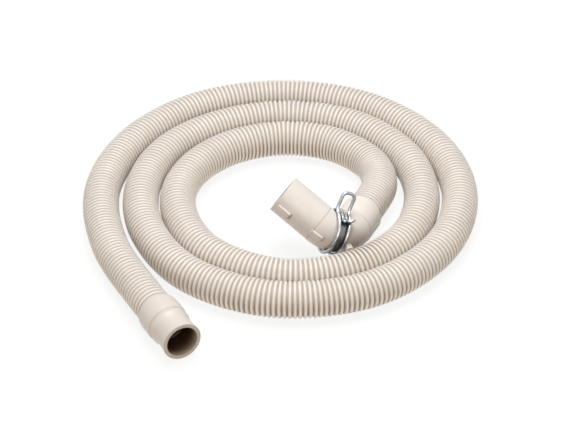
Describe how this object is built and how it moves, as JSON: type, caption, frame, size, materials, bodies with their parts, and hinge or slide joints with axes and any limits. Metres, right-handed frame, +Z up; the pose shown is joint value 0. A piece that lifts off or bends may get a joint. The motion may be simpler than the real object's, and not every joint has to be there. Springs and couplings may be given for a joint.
{
  "type": "dishwasher drain hose",
  "caption": "Corrugated dishwasher drain hose lying in an open spiral, with a straight cuff on one end and a right-angled cuff with a spring clamp on the other.",
  "frame": {"origin": "middle of the bounding box on the surface that the hose lies on", "axes": "+Z up, -Y the way the straight cuff's mouth faces, +X to the right when seen from the straight cuff's side"},
  "size_m": [0.2862, 0.2741, 0.0532],
  "materials": {
    "hose": "matte",
    "cuff": "matte",
    "wire": "satin",
    "band": "satin"
  },
  "bodies": {
    "root": {"corrugated_hose": "hose", "straight_cuff": "cuff", "elbow_cuff": "cuff", "clamp_band": "band", "spring_clamp": "wire"}
  },
  "joints": []
}
